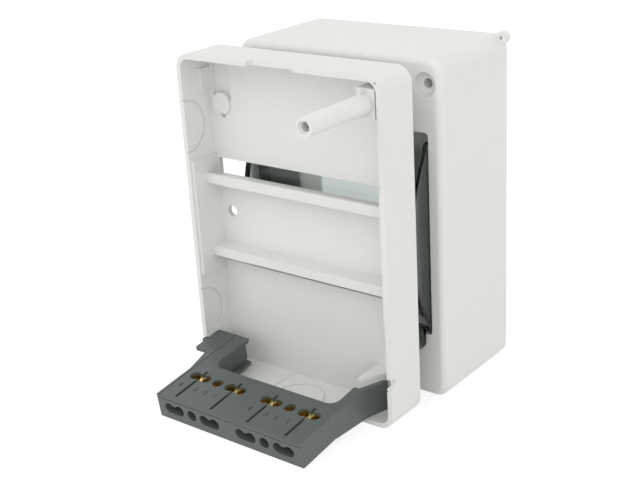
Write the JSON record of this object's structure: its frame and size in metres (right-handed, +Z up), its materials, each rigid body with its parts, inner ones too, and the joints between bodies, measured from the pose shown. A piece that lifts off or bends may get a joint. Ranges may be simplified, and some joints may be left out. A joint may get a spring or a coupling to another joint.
{
  "type": "din rail enclosure",
  "caption": "Small surface-mount enclosure taken apart: tray with moulded top-hat rail and clipped-in terminal carrier, and a deep cover with a tinted hinged door.",
  "frame": {"origin": "middle of the base of the box round the whole arrangement, on the surface that it stands on", "axes": "+Z up, the tray's open front faces -Y, the cover stands behind the tray towards +Y"},
  "size_m": [0.1006, 0.1174, 0.1364],
  "materials": {
    "white_plastic": "fine satin moulded white plastic",
    "grey_plastic": "satin slate-grey moulded plastic",
    "smoked_door": "glossy smoke-tinted clear plastic",
    "brass": "cut brass bar",
    "steel": "zinc-plated steel screws"
  },
  "bodies": {
    "base": {"base_tray": "white_plastic", "carrier_body": "grey_plastic", "carrier_lid": "grey_plastic", "neutral_bar": "brass", "earth_bar": "brass", "neutral_screws": "steel", "earth_screws": "steel"},
    "cover": {"front_cover": "white_plastic"},
    "door": {"door": "smoked_door"}
  },
  "joints": [
    {"name": "cover_slide", "type": "slide", "parent": "base", "child": "cover", "axis": [0, 1, 0], "range_m": [0, 0.15]},
    {"name": "door_hinge", "type": "hinge", "parent": "cover", "child": "door", "pos_m": [0, 0.01467, 0.0994], "axis": [-1, 0, 0], "range_deg": [0, 95]}
  ],
  "couplings": [
    {"joint": "door_hinge", "follows": "cover_slide", "rad_per_m": 11.05}
  ]
}
